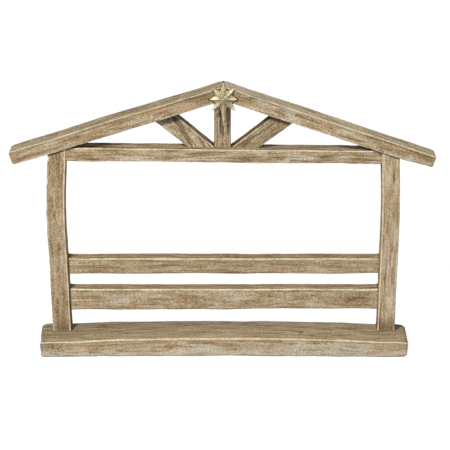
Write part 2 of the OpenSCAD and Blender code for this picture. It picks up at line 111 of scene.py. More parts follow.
# Stain under the cream line of the rafters' fronts: its strength, and where it fades in and out
HIGH_EDGE_STAIN = 0.3
HIGH_EDGE_RISE = (0.9, 1.3)
HIGH_EDGE_FADE = (2.2, 3.6)
# How much stronger the streaks are on upper sides
TOP_STREAKS = 0.7
# Reach of the grime and painted shade round a joint
GRIME_AND_SHADE_REACH = 7
# How far from a joint the tool marks start and are full, and the share of relief kept in it
SEAT_FADE = (0.15, 1.4)
SEAT_RELIEF = 0.35

# Painted light and shade of the timbers' upper sides: colours that they are toned with, brighter
# over 255
SHADED_TOP = (228, 233, 233)
RAIL_TOP_SHADE = (229, 227, 214)
LEFT_TOP_SHADE = (246, 249, 248)
RIGHT_TOP_LIGHT = (288, 293, 298)
BROWN_TOP_SHADE = (180, 164, 142)

# Tool marks and colour of the timbers, in millimetres and shares
# grain: the way that it runs, and slant: how far it strays from that
# radius: rounding of the arrises; hew, ridge, groove: depths of the marks; groove_w, wave: width
#     and wander of the grooves
# edges: cream on the front high, back high, back low and front low arris, where high is the
#     upper or the +X side; edge_w, cream: its width and strength
# wash, top_wash, low: white wash on the sides, its share on top and its gain lower down, which
#     is partly painted light thrown up from the floor
# pink, dark, streak: strength of the pink patches, the dark grooves and the streaks
# tone: brightness of the stain; top: colour of the painted light and shade on the upper side
# joint, reach: strength and reach of the grime and painted shade in joints
# open_end: 1 where the end is free, first at the foot or on the left
PLAIN = dict(
    radius=1.1, slant=0, hew=0.25, ridge=0.10, groove_w=1.6, streak=1.0, tone=1.0, top=SHADED_TOP,
    top_wash=1.0, low=0, reach=3.4, open_end=(0, 0))
POST = dict(
    PLAIN, grain="upright", radius=1.2, hew=0.26, ridge=0.12, groove=0.14, groove_w=1.8, wave=3.0,
    wash=0.42, dark=0.15, joint=0.6)
RAIL = dict(
    PLAIN, grain="level", wave=1.6, edges=(0.95, 0.6, 0.25, 0.15), dark=0.12, top=RAIL_TOP_SHADE,
    top_wash=0.3, joint=0.7)
STRUT = dict(
    PLAIN, grain="sloping", edge_w=1.1, cream=0.65, dark=0.45, top=BROWN_TOP_SHADE, top_wash=0.2,
    joint=0.9)
RAFTER = dict(
    PLAIN, grain="sloping", radius=1.2, hew=0.30, groove_w=1.7, wave=2.2,
    edges=(0.8, 0.45, 0.35, 0.5), joint=0.85)
TIMBERS = {
    "base_plank": dict(
        PLAIN, grain="level", seed=23, radius=1.5, hew=0.30, ridge=0.09, groove=0.14, groove_w=2.0,
        wave=2.0, edges=(0.95, 0.6, 0.3, 0.1), edge_w=1.6, cream=0.85, wash=0.50, pink=0.7,
        dark=0.15, streak=0.80, tone=1.12, top_wash=0.3, low=1.3, joint=0.6, open_end=(1, 1)),
    "left_post": dict(
        POST, seed=2, edges=(1.0, 0.6, 0.3, 0.25), edge_w=1.75, cream=1.0, pink=0.7, streak=0.95),
    "right_post": dict(
        POST, seed=3, edges=(0.35, 0.3, 0.6, 1.0), edge_w=1.6, cream=0.8, pink=0.5, streak=1.25,
        tone=1.15),
    "upper_rail": dict(
        RAIL, seed=4, groove=0.10, edge_w=1.5, cream=0.93, wash=0.36, pink=0.5, tone=0.99),
    "lower_rail": dict(
        RAIL, seed=5, groove=0.14, edge_w=1.7, cream=1.0, wash=0.55, pink=0.4, streak=0.95,
        tone=1.02),
    # The tie beam's long reach paints the shade under the rafters' ends on its top
    "tie_beam": dict(
        RAIL, seed=6, ridge=0.12, groove=0.26, groove_w=1.5, wave=2.2,
        edges=(0.75, 0.5, 0.35, 0.4), edge_w=1.4, cream=0.8, wash=0.52, pink=0.35, dark=0.35,
        streak=1.1, joint=0.95, reach=9.0),
    "king_post": dict(
        POST, seed=7, hew=0.20, ridge=0.15, groove=0.75, groove_w=1.5, wave=3.4, edges=(0.3,) * 4,
        edge_w=1.0, cream=0.6, wash=0.30, pink=0.25, dark=0.75, streak=1.3, tone=0.80, joint=0.7),
    "left_strut": dict(
        STRUT, slant=0.3, seed=8, hew=0.15, ridge=0.12, groove=0.25, groove_w=1.3, wave=2.8,
        edges=(0.75, 0.5, 0.35, 0.4), wash=0.75, pink=0.2, streak=1.2, tone=0.93),
    "right_strut": dict(
        STRUT, seed=9, ridge=0.13, groove=0.30, wave=2.4, edges=(0.7, 0.5, 0.35, 0.35), wash=0.15,
        pink=0.5, tone=0.76),
    "left_rafter": dict(
        RAFTER, seed=10, groove=0.15, edge_w=1.0, cream=0.66, wash=0.46, pink=0.6, dark=0.2,
        tone=0.98, top=LEFT_TOP_SHADE, top_wash=0.8, open_end=(1, 0)),
    "right_rafter": dict(
        RAFTER, seed=11, groove=0.17, edge_w=1.1, cream=0.8, wash=0.66, pink=0.5, dark=0.25,
        streak=1.05, tone=1.07, top=RIGHT_TOP_LIGHT, top_wash=0.9, open_end=(0, 1)),
}

# How squarely a point of the skin has to face a side to belong to it
SQUARELY = 0.9
# Joints that have no dark line
CLEAN_JOINTS = (
    {"base_plank", "left_post"}, {"base_plank", "right_post"}, {"tie_beam", "king_post"},
    {"tie_beam", "left_strut"}, {"tie_beam", "right_strut"}, {"tie_beam", "left_post"},
    {"tie_beam", "right_post"})
# Brown stain at a timber's foot, 0, or head, 1: which end, its reach and its strength; on the
# struts' heads it is partly painted shade under the rafters
END_STAINS_AND_SHADE = {
    "left_post": (0, 15, 0.45), "right_post": (0, 22, 0.55),
    "left_strut": (1, 9, 0.5), "right_strut": (1, 8, 0.4),
    "left_rafter": (1, 22, 0.45), "right_rafter": (1, 22, 0.45)}
# Patches on the front faces where the wash is thick, or rubbed away if the last number is
# negative: X and Z of the centre, half sizes along X and Z, and strength
WORN = {
    "base_plank": (
        (-30, 6, 36, 9, 0.3), (-12, 8, 20, 8, 0.4), (110, 9, 60, 8, 0.3),
        (-131, 8, 15, 10, -0.6), (202, 8, 16, 14, -0.7)),
    "right_post": (
        (179, 72, 4, 28, 1.0), (172, 50, 6, 8, 0.8), (171, 190, 6, 20, 0.5),
        (165, 118, 4, 14, -0.6), (171, 94, 6, 20, 0.6), (171, 38, 6, 12, 0.5)),
    "left_post": (
        (-160, 160, 6, 22, -0.3), (-164, 140, 5, 10, 0.5), (-163, 66, 5, 34, -0.9),
        (-169, 200, 9, 12, -0.8), (-167, 181, 8, 13, -0.8), (-165, 94, 6, 12, 0.8)),
    "upper_rail": (
        (100, 87, 18, 6, 0.7), (-20, 86, 40, 8, 0.2), (-136, 86, 14, 9, -0.3)),
    "lower_rail": (
        (-107, 52, 20, 9, 0.5), (18, 54, 20, 9, 0.45), (93, 46, 9, 6, 0.5),
        (140, 50, 20, 12, -0.35), (-145, 50, 8, 12, -0.3)),
    "tie_beam": (
        (-90, 206, 34, 7, 0.4), (78, 206, 18, 7, 0.8), (18, 205, 18, 7, -0.3),
        (-138, 206, 14, 8, -0.5), (142, 205, 14, 8, -0.6)),
    "left_rafter": (
        (-135, 232, 11, 4, 0.3), (-95, 246, 14, 4, 0.2), (-75, 253, 12, 5, -0.5),
        (-26, 270, 17, 8, -0.9), (-176, 221, 14, 5, 0.3)),
    "right_rafter": (
        (68, 252, 8, 4, 1.0), (60, 256, 12, 5, 0.5), (122, 233, 12, 5, 1.0),
        (22, 268, 13, 9, -1.0), (25, 269.5, 9, 1.3, 2.2), (38, 262, 12, 4, -0.4),
        (166, 220, 14, 6, -0.7), (187, 213, 13, 7, -1.0)),
}
# Knots in the base's top: centre, and half sizes along and across the grain
BASE_KNOTS = (
    (81.0, -6.8, 2.3, 3.4), (92.3, -15.2, 2.6, 1.8), (-125.0, 17.0, 3.0, 2.2))
# Painted shading of the base's top, as pairs of a place and a level: from front to back along Y,
# and from left to right along X
TOP_FRONT = (-24, 1.11)
TOP_BACK = (22, 0.87)
TOP_LEFT = (-200, 0.90)
TOP_RIGHT = (160, 1.08)
# Where the flecked patch on the base's left end starts and is full, along X
FLECKED_FROM = -150
FLECKED_FULL = -168
# Strength of that patch's dark and pale flecks
FLECKS_DARK = 0.6
FLECKS_PALE = 0.66
# Screw holes under the base: widths at the head and the shank and height of the cone, as shares
# of the head, height as a share of the plank's, and number of sides
HEAD_WIDTH = 1.04
SHANK_WIDTH = 0.55
CONE_HEIGHT = 0.5
HOLE_HEIGHT = 0.7
HOLE_SIDES = 40
# Rays of the star lie this far apart, in degrees
RAY_TURN = 45
# Rounding of the star's ridges, the least angle in degrees that gets it, spacing of its points
# and the distance within which they are joined
STAR_EASE = 0.5
STAR_ANGLE = 14
STAR_GRID = 0.28
STAR_WELD = 0.02
# Hammer marks: the depth that they are lowered by, and the cell, seed and depth of each layer
HAMMER_DROP = 0.25
HAMMER_MARKS = ((1.2, 901, 0.12), (2.3, 902, 0.26))
# Where the shine of the ridges starts and is full, from the star's middle outwards
STAR_SHINE = (1.0, 8.0)


def smooth(low, high, x):
    """Ease from 0 at low to 1 at high."""
    t = np.clip((x - low) / (high - low), 0, 1)
    return t * t * (3 - 2 * t)


def lattice(i, j, k, seed):
    """Repeatable random number from 0 to 1 for a point of the noise lattice."""
    h = (i * 374761393 + j * 668265263 + k * 1440662683 + seed * 974711) & 0xFFFFFFFF
    h = ((h ^ (h >> 13)) * 1274126177) & 0xFFFFFFFF
    h = ((h ^ (h >> 15)) * 2246822519) & 0xFFFFFFFF
    return ((h ^ (h >> 16)) & 0xFFFF) / 0xFFFF


def noise(points, cells, seed):
    """Smooth noise from -1 to 1, with a cell size for each direction in millimetres."""
    q = points / np.array(cells, float)
    base = np.floor(q).astype(np.int64)
    t = q - base
    t = t * t * (3 - 2 * t)
    total = np.zeros(len(points))
    for a in (0, 1):
        for b in (0, 1):
            for c in (0, 1):
                weight = (
                    np.abs(1 - a - t[:, 0]) * np.abs(1 - b - t[:, 1]) * np.abs(1 - c - t[:, 2])
                )
                total += weight * lattice(base[:, 0] + a, base[:, 1] + b, base[:, 2] + c, seed)
    return 2 * total - 1


def solid_tree(node):
    """Search tree over a CAD solid's faces, in millimetres."""
    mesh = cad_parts[node].data
    points = [v.co / MM for v in mesh.vertices]
    return BVHTree.FromPolygons(points, [tuple(p.vertices) for p in mesh.polygons])


def broad_side(node):
    """Direction that the largest sloping side of a timber faces, turned to point up."""
    areas = {}
    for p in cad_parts[node].data.polygons:
        if abs(p.normal.y) < 0.2:
            key = (round(p.normal.x, 2), round(p.normal.z, 2))
            total, direction = areas.get(key, (0, Vector()))
            areas[key] = (total + p.area, direction + p.normal * p.area)
    direction = max(areas.values(), key=lambda item: item[0])[1].normalized()
    return direction if direction.z > 0 else -direction


def grain_axes(node, grain):
    """Directions along the grain, from front to back, and across towards the high side."""
    if grain == "level":
        return np.array([[1, 0, 0], [0, 1, 0], [0, 0, 1]], float)
    if grain == "upright":
        return np.array([[0, 0, 1], [0, 1, 0], [1, 0, 0]], float)
    high = broad_side(node)
    return np.array([[high.z, 0, -high.x], [0, 1, 0], [high.x, 0, high.z]], float)


def section_ring(across, through, radius):
    """Ring of points round a timber's section: where each sits between the corners, which way it
    faces, its nearest corner and its distance from that corner's arris."""
    place, facing, corner, arris = [], [], [], []
    # Corner places as shares front to back and low to high, with the angle that each starts from
    turns = (((0, 1), 180, 90), ((1, 1), 90, 0), ((1, 0), 0, -90), ((0, 0), -90, -180))
    sides = (through, across, through, across)
    quarter = radius * math.pi / 2
    for index, (spot, start, end) in enumerate(turns):
        for step in range(CORNER_STEPS + 1):
            turn = math.radians(start + (end - start) * step / CORNER_STEPS)
            place.append(spot)
            facing.append((math.cos(turn), math.sin(turn)))
            corner.append(index)
            arris.append(abs(step / CORNER_STEPS - 0.5) * quarter)
        following = turns[(index + 1) % 4][0]
        length = sides[index] - 2 * radius
        count = max(2, round(length / ACROSS_STEP))
        for step in range(1, count):
            s = step / count
            place.append(tuple(spot[k] * (1 - s) + following[k] * s for k in (0, 1)))
            turn = math.radians(end)
            facing.append((math.cos(turn), math.sin(turn)))
            corner.append(index if s < 0.5 else (index + 1) % 4)
            arris.append(quarter / 2 + min(s, 1 - s) * length)
    return np.array(place, float), np.array(facing), np.array(corner), np.array(arris)


def farthest(tree, axes, side, direction, along, others, squareness):
    """Reach of a solid's side, probed from outside along two lines that miss its bores."""
    best = None
    out = Vector(axes[side]) * direction
    for other in others:
        spot = [along, 0, 0]
        spot[3 - side] = other
        start = Vector(axes[0]) * spot[0] + Vector(axes[1]) * spot[1] + Vector(axes[2]) * spot[2]
        hit, normal, _, _ = tree.ray_cast(start + out * FAR, -out)
        if hit is not None and normal.dot(out) > squareness:
            reach = hit.dot(Vector(axes[side]))
            if best is None or direction * (reach - best) > 0:
                best = reach
    return best


class Envelope:
    """Sides and ends of a CAD timber, measured in its own grain directions."""

    def __init__(self, node, look):
        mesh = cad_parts[node].data
        self.axes = grain_axes(node, look["grain"])
        self.tree = solid_tree(node)
        self.squareness = {1: SQUARE_BETWEEN, 2: SQUARE_BETWEEN}
        if any(look["open_end"]):
            self.squareness = {1: SQUARE_OPEN, 2: SQUARE_OPEN}
            if look["grain"] == "sloping":
                self.squareness[2] = SQUARE_RAFTER
        local = np.array([v.co for v in mesh.vertices]) / MM @ self.axes.T
        self.low, self.high = local.min(0), local.max(0)
        first, last = self.low[0] + PROBE_ENDS[0], self.high[0] - PROBE_ENDS[1]
        self.stations = np.arange(first, last, PROBE_STEP)
        fronts = (self.low[1] + PROBE_INSET, self.high[1] - PROBE_INSET)
        self.across = [self.measure(2, sign, lambda u: fronts) for sign in (-1, 1)]
        self.through = [self.measure(1, sign, self.inner_lines) for sign in (-1, 1)]

    def inner_lines(self, u):
        """Two lines across the section at u, just inside its low and its high side."""
        return [
            self.side(self.across[0], u) + PROBE_INSET,
            self.side(self.across[1], u) - PROBE_INSET,
        ]

    def measure(self, side, sign, lines):
        """Places along the grain, each with the reach of one side there."""
        found = []
        for u in self.stations:
            reach = farthest(self.tree, self.axes, side, sign, u, lines(u), self.squareness[side])
            if reach is not None:
                found.append((u, reach))
        return np.array(found)

    def side(self, table, u):
        """Reach of a measured side at u."""
        return np.interp(u, table[:, 0], table[:, 1])

    def point(self, place, facing, radius, u, inset=0.0):
        """Section point at distance u along the grain, as front to back and across."""
        result = []
        for k, table in enumerate((self.through, self.across)):
            low = self.side(table[0], u) + radius
            high = self.side(table[1], u) - radius
            result.append(
                low + (high - low) * place[:, k] + (radius - inset) * facing[:, k]
            )
        return result

    def middle(self, u):
        """Middle of the section at u, as front to back and across."""
        return [
            (self.side(table[0], u) + self.side(table[1], u)) / 2
            for table in (self.through, self.across)
        ]

    def ends(self, place, facing, radius):
        """Where each line of the skin starts and stops, probed along the grain."""
        found = []
        for sign, edge in ((-1, self.low[0]), (1, self.high[0])):
            limit = np.full(len(place), edge)
            for _ in range(2):
                v, w = self.point(place, facing, radius, limit, END_INSET)
                for j in range(len(place)):
                    start = self.axes[0] * sign * FAR + self.axes[1] * v[j] + self.axes[2] * w[j]
                    hit, _, _, _ = self.tree.ray_cast(Vector(start), Vector(-sign * self.axes[0]))
                    if hit is not None:
                        limit[j] = hit.dot(Vector(self.axes[0]))
            found.append(limit)
        return found


def shares_along(length):
    """Stations from 0 to 1, close together at both ends."""
    steps = [0.0]
    while steps[-1] < length / 2:
        steps.append(steps[-1] + min(ALONG_STEP, END_STEP + END_STEP_GROWTH * steps[-1]))
    half = np.array(steps) / steps[-1] / 2
    return np.concatenate([half, 1 - half[-2::-1]])


def skin_rings(envelope, look):
    """Rings of a timber's skin before it is carved, each with its facing directions."""
    radius = look["radius"]
    across = envelope.high[2] - envelope.low[2]
    if look["grain"] != "level":
        across = envelope.side(envelope.across[1], 0) - envelope.side(envelope.across[0], 0)
    through = envelope.high[1] - envelope.low[1]
    place, facing, corner, arris = section_ring(across, through, radius)
    start, stop = envelope.ends(place, facing, radius)
    shares = shares_along((stop - start).mean())
    count = len(place)
    rings = []

    def ring(u, inset, end, share):
        """Add a ring at u, set in from the sides, or shrunk to a share of it in an end."""
        v, w = envelope.point(place, facing, radius, u, inset)
        if share < 1:
            mid_v, mid_w = v.mean(), w.mean()
            v = mid_v + (v - mid_v) * share
            w = mid_w + (w - mid_w) * share
            u = u.mean() + (u - u.mean()) * share
        side = 1.0 if end == 0 else 0.0
        rings.append((u, v, w, np.full(count, side), np.full(count, float(end))))

    first, last = (END_EASE if opened else JOINT_EASE for opened in look["open_end"])
    for share in CAP_SHARES[::-1]:
        ring(start, first[-1][0], -1, share)
    for inset, back in first[::-1]:
        ring(start + back, inset, -1 if back == 0 else 0, 1)
    trim = 2 * END_EASE[0][1] / (stop - start).mean()
    for share in shares:
        if trim < share < 1 - trim:
            ring(start * (1 - share) + stop * share, 0, 0, 1)
    for inset, back in last:
        ring(stop - back, inset, 1 if back == 0 else 0, 1)
    for share in CAP_SHARES:
        ring(stop, last[-1][0], 1, share)
    u, v, w, side, end = (np.concatenate([r[k] for r in rings]) for k in range(5))
    number = len(rings)
    return dict(
        points=np.stack([u, v, w], 1), side=side, end=end, number=number, count=count,
        facing=np.tile(facing, (number, 1)), corner=np.tile(corner, number),
        arris=np.tile(arris, number))


def carve(skin, look, rest, seam):
    """Depth of the tool marks at each point, and the relief that the finish follows."""
    seed = look["seed"] * 40
    wander = np.stack([
        np.zeros(len(rest)),
        noise(rest, (34, 12, 12), seed + 1) + 0.4 * noise(rest, (13, 6, 6), seed + 2),
        noise(rest, (34, 12, 12), seed + 3) + 0.4 * noise(rest, (13, 6, 6), seed + 4),
    ], 1)
    lines = rest + wander * look["wave"] * 0.5
    width = look["groove_w"]
    hew = noise(rest, (24, 9, 9), seed + 5) * 0.6 + noise(rest, (11, 5, 5), seed + 6) * 0.4
    ridge = noise(lines, (16, 1.5, 1.5), seed + 7) + 0.6 * noise(lines, (7, 0.95, 0.95), seed + 8)
    cut = smooth(0.12, 0.62, noise(lines, (26, width, width), seed + 9))
    cut = cut + 0.5 * smooth(0.3, 0.7, noise(lines, (12, width * 0.7, width * 0.7), seed + 10))
    chip = smooth(0.25, 0.75, noise(rest, (6, 3, 3), seed + 11))
    chip = chip * np.exp(-skin["arris"] / CHIP_REACH)
    relief = np.clip(0.4 * ridge - cut, -1, 1)
    depth = look["hew"] * (hew - HEW_DROP) + look["ridge"] * (ridge - RIDGE_DROP)
    depth = depth - look["groove"] * cut - CHIP_DEPTH * chip
    free = smooth(*SEAT_FADE, seam)
    return depth * free, relief * (SEAT_RELIEF + (1 - SEAT_RELIEF) * free)


def build_mesh(name, skin, world, axes):
    """Closed mesh over the rings, with a centre point in each end."""
    count, number = skin["count"], skin["number"]
    first = world[:count].mean(0)
    last = world[-count:].mean(0)
    points = np.concatenate([world, [first, last]])
    at = np.arange((number - 1) * count)
    following = at - at % count + (at % count + 1) % count
    quads = np.stack([at, following, following + count, at + count], 1)
    j = np.arange(count)
    k = (j + 1) % count
    end = (number - 1) * count
    caps = [(number * count, int(b), int(a)) for a, b in zip(j, k)]
    caps += [(number * count + 1, int(end + a), int(end + b)) for a, b in zip(j, k)]
    mesh = bpy.data.meshes.new(name)
    mesh.from_pydata([tuple(p) for p in points], [], quads.tolist() + caps)
    # The faces look inwards where the grain's directions are right-handed
    if np.linalg.det(axes) > 0:
        mesh.flip_normals()
    mesh.shade_smooth()
    mesh.update()
    return mesh


def put_values(mesh, name, values):
    """Store a number or a vector on every point of a mesh, for its material."""
    vector = values.ndim == 2
    kind = "FLOAT_VECTOR" if vector else "FLOAT"
    attribute = mesh.attributes.get(name) or mesh.attributes.new(name, kind, "POINT")
    attribute.data.foreach_set("vector" if vector else "value", values.astype(np.float32).ravel())


def with_centres(values, count):
    """Values of the rings, with the two end centres added."""
    return np.concatenate([values, [values[:count].mean(0), values[-count:].mean(0)]])


# The star has a search tree too, so that grime and painted shade gather round it on the timbers
# beside it
trees = {node: solid_tree(node) for node in list(TIMBERS) + ["star"]}
boxes = {node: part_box(node) for node in trees}


def touching(node):
    """Other timbers whose boxes come near this one."""
    low, high = boxes[node]
    reach = GRIME_AND_SHADE_REACH * MM
    near = [
        other for other, (lo, hi) in boxes.items()
        if all(lo[k] < high[k] + reach and hi[k] > low[k] - reach for k in range(3))
    ]
    return [other for other in near if other != node]


def seam_distance(world, others):
    """Distance from each point to the nearest of other timbers, up to the reach of the grime and
    painted shade.
    """
    result = np.full(len(world), float(GRIME_AND_SHADE_REACH))
    for other in others:
        low, high = (np.array(corner) / MM for corner in boxes[other])
        near = np.where(
            ((world > low - GRIME_AND_SHADE_REACH) & (world < high + GRIME_AND_SHADE_REACH)).all(1)
        )[0]
        for i in near:
            found = trees[other].find_nearest(Vector(world[i]), result[i])
            if found[0] is not None:
                result[i] = min(result[i], found[3])
    return result


def knot_marks(rest):
    """Knots in the base's top face: how dark each point is, and how far it sinks."""
    mark = np.zeros(len(rest))
    for x, y, half_l, half_w in BASE_KNOTS:
        off = np.hypot((rest[:, 0] - x) / half_l, (rest[:, 1] - y) / half_w)
        ring = 0.5 * (1 - smooth(0.0, 0.25, np.abs(off - 1.5)))
        mark = np.maximum(mark, np.maximum(1 - smooth(0.55, 1.0, off), ring))
    return mark * (rest[:, 2] > 0)


def worn_patches(node, world):
    """How much thicker or thinner the wash is at each point of a timber's front."""
    total = np.zeros(len(world))
    for x, z, half_x, half_z, strength in WORN.get(node, ()):
        off = np.hypot((world[:, 0] - x) / half_x, (world[:, 2] - z) / half_z)
        total += strength * (1 - smooth(0.3, 1.2, off))
    return total


def end_stain_and_shade(node, height):
    """Strength of the brown stain at a timber's foot or head, partly painted shade on the struts'
    heads.
    """
    if node not in END_STAINS_AND_SHADE:
        return np.zeros(len(height))
    end, reach, strength = END_STAINS_AND_SHADE[node]
    away = height.max() - height if end else height - height.min()
    return strength * (1 - smooth(0.2 * reach, reach, away))


def mitre_x(node):
    """Where along X a rafter meets the other one."""
    low, high = boxes[node]
    return (high.x if "left" in node else low.x) / MM


def edge_shade_and_stain(node, look, skin):
    """Painted shade along the lower front arris of a level timber, and brown stain under the cream
    line of a rafter's front.
    """
    if look["grain"] == "level":
        # Painted shade where the lower arris turns down, away from the light
        low_edge = 1 - smooth(*LOW_EDGE_FADE, skin["arris"])
        return LOW_EDGE_SHADE * low_edge * (skin["corner"] == FRONT_LOW)
    if "rafter" in node:
        high_edge = (skin["corner"] == FRONT_HIGH) & (skin["facing"][:, 0] < -SQUARELY)
        high_edge = high_edge * smooth(*HIGH_EDGE_RISE, skin["arris"])
        return HIGH_EDGE_STAIN * high_edge * (1 - smooth(*HIGH_EDGE_FADE, skin["arris"]))
    return np.zeros(len(skin["arris"]))


def put_in_scene(name, data):
    """New object of the scene with the given mesh, lamp or camera."""
    made = bpy.data.objects.new(name, data)
    bpy.context.scene.collection.objects.link(made)
    return made


def timber_skin(node, look):
    """Carved skin of one timber, as an object that stands for its CAD node."""
    envelope = Envelope(node, look)
    skin = skin_rings(envelope, look)
    points, facing = skin["points"], skin["facing"]
    mid_v, mid_w = envelope.middle(points[:, 0])
    rest = np.stack([points[:, 0], points[:, 1] - mid_v, points[:, 2] - mid_w], 1)
    world = points @ envelope.axes
    others = touching(node)
    seam = seam_distance(world, others)
    grimy_and_shaded = seam_distance(world, [n for n in others if {node, n} not in CLEAN_JOINTS])
    upper = rest[:, 2] / np.ptp(rest[:, 2])
    rest[:, 2] += rest[:, 0] * look["slant"]
    depth, relief = carve(skin, look, rest, seam)
    knot = knot_marks(rest) if node == "base_plank" else np.zeros(len(rest))
    depth = depth - KNOT_DEPTH * knot
    # Sides move square to the grain and ends along it
    moved = points.copy()
    moved[:, 1] += facing[:, 0] * depth * skin["side"]
    moved[:, 2] += facing[:, 1] * depth * skin["side"]
    moved[:, 0] += skin["end"] * depth * END_GRAIN_MARKS
    if "rafter" in node:
        ridge = np.abs(points @ envelope.axes[:, 0] - mitre_x(node))
        wear = RIDGE_WEAR * (1 - smooth(0, RIDGE_WEAR_REACH, ridge))
        moved[:, 2] -= wear * np.clip(2 * upper, 0, 1)
    world = moved @ envelope.axes * MM
    mesh = build_mesh(node + "_hewn", skin, world, envelope.axes)
    stain = end_stain_and_shade(node, world[:, 2] / MM)
    values = {
        "grain": rest + look["seed"] * GRAIN_SHIFT,
        "relief": relief,
        "worn": worn_patches(node, world / MM) * (facing[:, 0] < 0),
        "seam": seam,
        "grimy_and_shaded": grimy_and_shaded,
        "stain": np.maximum(stain, edge_shade_and_stain(node, look, skin)),
        "arris": skin["arris"] + NO_ARRIS * (1 - skin["side"]),
        "paint": np.array(look["edges"])[skin["corner"]],
        "knot": knot,
        "low": np.where(facing[:, 1] < -SQUARELY, UNDERSIDE_WASH, np.clip(0.5 - upper, 0, 1)),
    }
    for name, value in values.items():
        put_values(mesh, name, with_centres(value, skin["count"]))
    return put_in_scene(node + "_hewn", mesh)


# Materials

def rgb(red, green, blue):
    """Linear colour from the screen colour it looks like."""
    return tuple((c / 255) ** 2.2 for c in (red, green, blue)) + (1.0,)


# Level of the mixed marks at which the wash starts and is full, and the most that it covers
WASH_FROM = 1.06
WASH_FULL = 1.41
WASH_MOST = 0.8
# Middle of the streaks' mixed values, and how strongly they are spread round it
STREAK_MIDDLE = 0.93
STREAK_GAIN = 1.2

CREAM = rgb(240, 226, 190)
LIMEWASH = rgb(206, 197, 176)
LIGHT_TAN = rgb(202, 184, 152)
TAN = rgb(176, 154, 121)
BROWN = rgb(148, 124, 92)
DARK_BROWN = rgb(112, 89, 62)
PINK_BROWN = rgb(178, 143, 113)
# Dark brown of the grime and painted shade in joints, and of the dark grooves
GRIME_AND_SHADE = rgb(50, 38, 27)
STAIN_AND_SHADE_BROWN = rgb(92, 72, 50)
KNOT_BROWN = rgb(92, 66, 48)


def add(tree, kind, **settings):
    """Add a node with its settings."""
    made = tree.nodes.new(kind)
    for name, value in settings.items():
        setattr(made, name, value)
    return made


def feed(tree, node, socket, value):
    """Link or set one input of a node."""
    target = node.inputs[socket]
    if isinstance(value, bpy.types.NodeSocket):
        tree.links.new(value, target)
    else:
        target.default_value = value


def maths(tree, operation, a, b=0.0, c=0.0, clamp=False):
    """One step of arithmetic on values."""
    made = add(tree, "ShaderNodeMath", operation=operation, use_clamp=clamp)
    for socket, value in enumerate((a, b, c)):
        feed(tree, made, socket, value)
    return made.outputs[0]


def with_shares(tree, start, *terms):
    """A value with others added to it, each times its share."""
    for value, share in terms:
        start = maths(tree, "MULTIPLY_ADD", value, share, start)
    return start


def vector_maths(tree, operation, a, b):
    """One step of arithmetic on vectors."""
    made = add(tree, "ShaderNodeVectorMath", operation=operation)
    feed(tree, made, 0, a)
    feed(tree, made, 1, b)
    return made.outputs[0]


def ease(tree, value, low, high, to_low=0.0, to_high=1.0):
    """Smooth step between two values."""
    made = add(tree, "ShaderNodeMapRange", interpolation_type="SMOOTHSTEP")
    for socket, given in enumerate((value, low, high, to_low, to_high)):
        feed(tree, made, socket, given)
    return made.outputs[0]


def blend(tree, factor, a, b, mode="MIX"):
    """Mix two colours."""
    made = add(tree, "ShaderNodeMix", data_type="RGBA", blend_type=mode)
    feed(tree, made, 0, factor)
    feed(tree, made, 6, a)
    feed(tree, made, 7, b)
    return made.outputs[2]


def cells(tree, vector, along, across):
    """Vector in cells of the given length along the grain and width across it."""
    size = add(tree, "ShaderNodeCombineXYZ")
    for socket, value in enumerate((along, across, across)):
        feed(tree, size, socket, value)
    return vector_maths(tree, "DIVIDE", vector, size.outputs[0])


def cloud(tree, vector, along, across, detail=2.0, roughness=0.6, output=0):
    """Noise in cells of the given length along the grain and width across it."""
    made = add(tree, "ShaderNodeTexNoise")
    feed(tree, made, "Vector", cells(tree, vector, along, across))
    feed(tree, made, "Scale", 1.0)
    feed(tree, made, "Detail", detail)
    feed(tree, made, "Roughness", roughness)
    return made.outputs[output]


def new_group(name, inputs, outputs):
    """Node group with named values, of which Grain is a vector; returns its tree and sockets."""
    tree = bpy.data.node_groups.new(name, "ShaderNodeTree")
    for way, names in (("INPUT", inputs), ("OUTPUT", outputs)):
        for socket in names:
            kind = "NodeSocketVector" if socket == "Grain" else "NodeSocketFloat"
            tree.interface.new_socket(socket, in_out=way, socket_type=kind)
    given = tree.nodes.new("NodeGroupInput").outputs
    return tree, given, tree.nodes.new("NodeGroupOutput")


def grain_streaks_group():
    """Fine streaks and long streaks along the grain, and broad patches of tint."""
    tree, given, out = new_group(
        "grain streaks", ("Grain", "Length", "Width", "Wander"), ("Fine", "Long", "Tint"))
    grain = given["Grain"]
    drift = cloud(tree, grain, along=32.0, across=11.0, detail=1.0, roughness=0.5, output=1)
    drift = vector_maths(tree, "SUBTRACT", drift, (0.5, 0.5, 0.5))
    reach = add(tree, "ShaderNodeCombineXYZ")
    for socket in (1, 2):
        feed(tree, reach, socket, given["Wander"])
    drift = vector_maths(tree, "MULTIPLY", drift, reach.outputs[0])
    lines = vector_maths(tree, "ADD", grain, drift)
    fine = cloud(tree, lines, along=given["Length"], across=given["Width"], roughness=0.65)
    wide = maths(tree, "MULTIPLY", given["Width"], 1.7)
    long = maths(tree, "MULTIPLY", given["Length"], 8.0)
    streak = cloud(tree, lines, along=long, across=wide, roughness=0.5)
    tint = cloud(tree, grain, along=24.0, across=8.0, roughness=0.55)
    for name, value in (("Fine", fine), ("Long", streak), ("Tint", tint)):
        feed(tree, out, name, value)
    return tree


def limewash_group():
    """Mask of the thin white wash, which stays on the ridges in loose patches."""
    tree, given, out = new_group("limewash", ("Grain", "Relief", "Streak", "Amount"), ("Mask",))
    grain = given["Grain"]
    patch = cloud(tree, grain, along=30.0, across=6.5, detail=2.5, roughness=0.55)
    speck = cloud(tree, grain, along=1.9, across=1.1)
    level = with_shares(
        tree, patch, (given["Relief"], 0.16), (given["Streak"], 0.4), (speck, 0.5),
        (given["Amount"], 0.34))
    feed(tree, out, "Mask", ease(tree, level, WASH_FROM, WASH_FULL, 0.0, WASH_MOST))
    return tree


